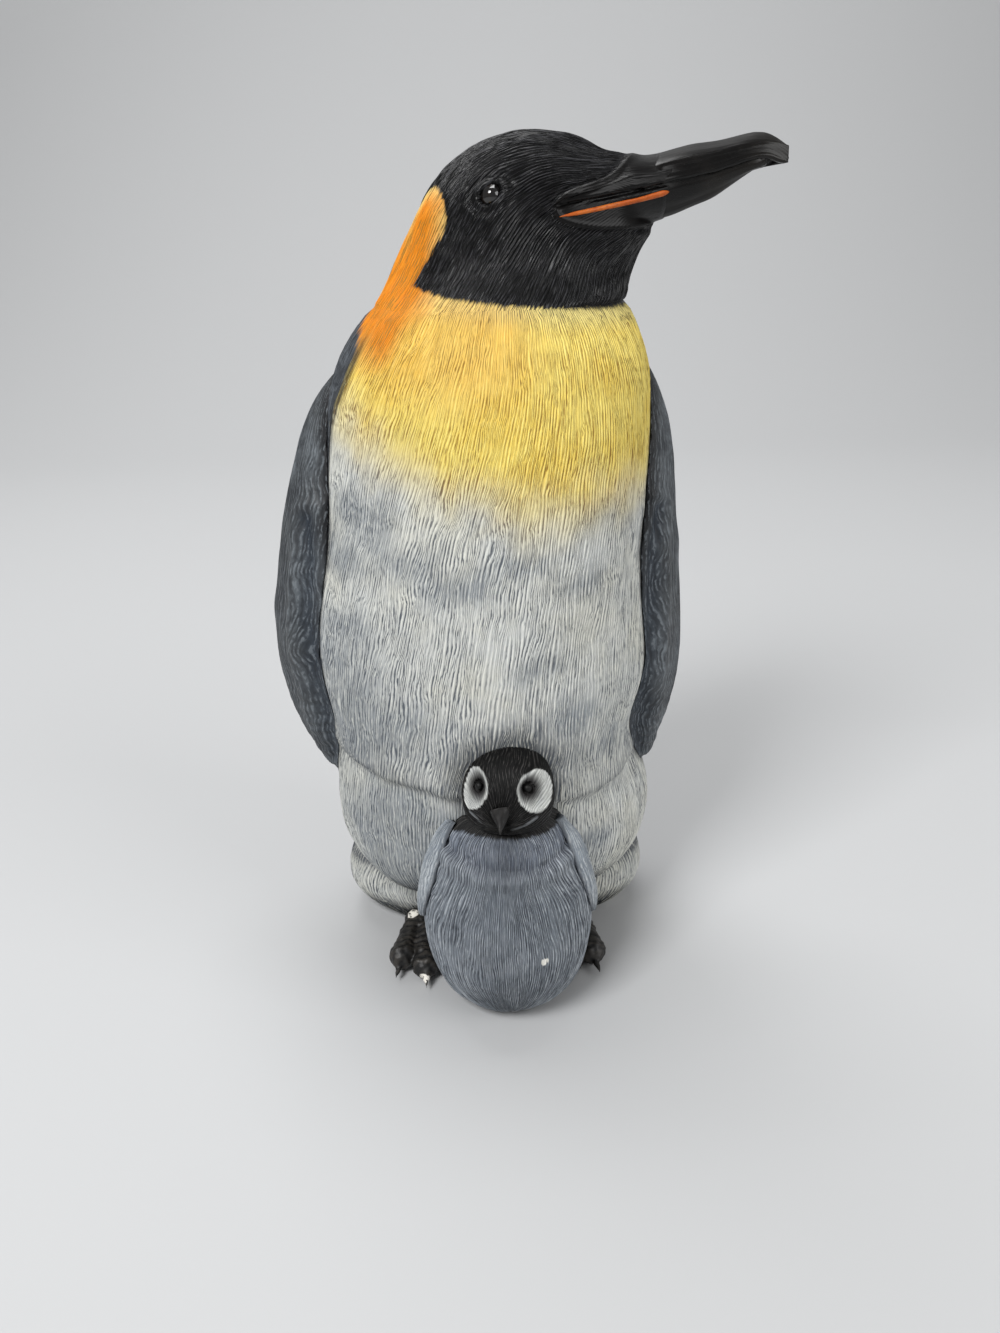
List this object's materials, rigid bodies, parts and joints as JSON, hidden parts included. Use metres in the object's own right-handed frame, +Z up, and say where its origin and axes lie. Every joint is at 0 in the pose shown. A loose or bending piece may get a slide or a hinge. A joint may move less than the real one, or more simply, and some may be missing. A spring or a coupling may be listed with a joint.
{
  "type": "penguin figurine",
  "caption": "Standing penguin ornament with its head turned aside and a chick tucked against its belly, hand-painted cast pieces on a felt pad.",
  "frame": {"origin": "on the ground under the body, on the underside of the felt pad", "axes": "+Z up, the belly and the chick face -Y, the bill points to +X"},
  "size_m": [0.1411, 0.1331, 0.225],
  "materials": {
    "belly_paint": "satin",
    "bare_casting": "matte",
    "felt": "matte",
    "hood_paint": "satin",
    "bill_gloss": "gloss",
    "eye_glass": "gloss",
    "slate_paint": "satin",
    "foot_paint": "satin",
    "chick_paint": "satin",
    "chick_hood_paint": "satin",
    "pin_steel": "satin"
  },
  "bodies": {
    "root": {"torso": "belly_paint", "base_plug": "bare_casting", "felt_pad": "felt", "head": "hood_paint", "upper_bill": "bill_gloss", "lower_bill": "bill_gloss", "bill_pin": "pin_steel", "right_eye": "eye_glass", "left_eye": "eye_glass", "right_flipper": "slate_paint", "left_flipper": "slate_paint", "flipper_pins": "pin_steel", "tail": "slate_paint", "tail_pin": "pin_steel", "right_foot": "foot_paint", "left_foot": "foot_paint", "foot_pins": "pin_steel", "chick_body": "chick_paint", "chick_head": "chick_hood_paint", "chick_bill": "bill_gloss", "chick_eyes": "eye_glass", "chick_right_flipper": "chick_paint", "chick_left_flipper": "chick_paint", "chick_pin": "pin_steel", "chick_head_pin": "pin_steel"}
  },
  "joints": []
}
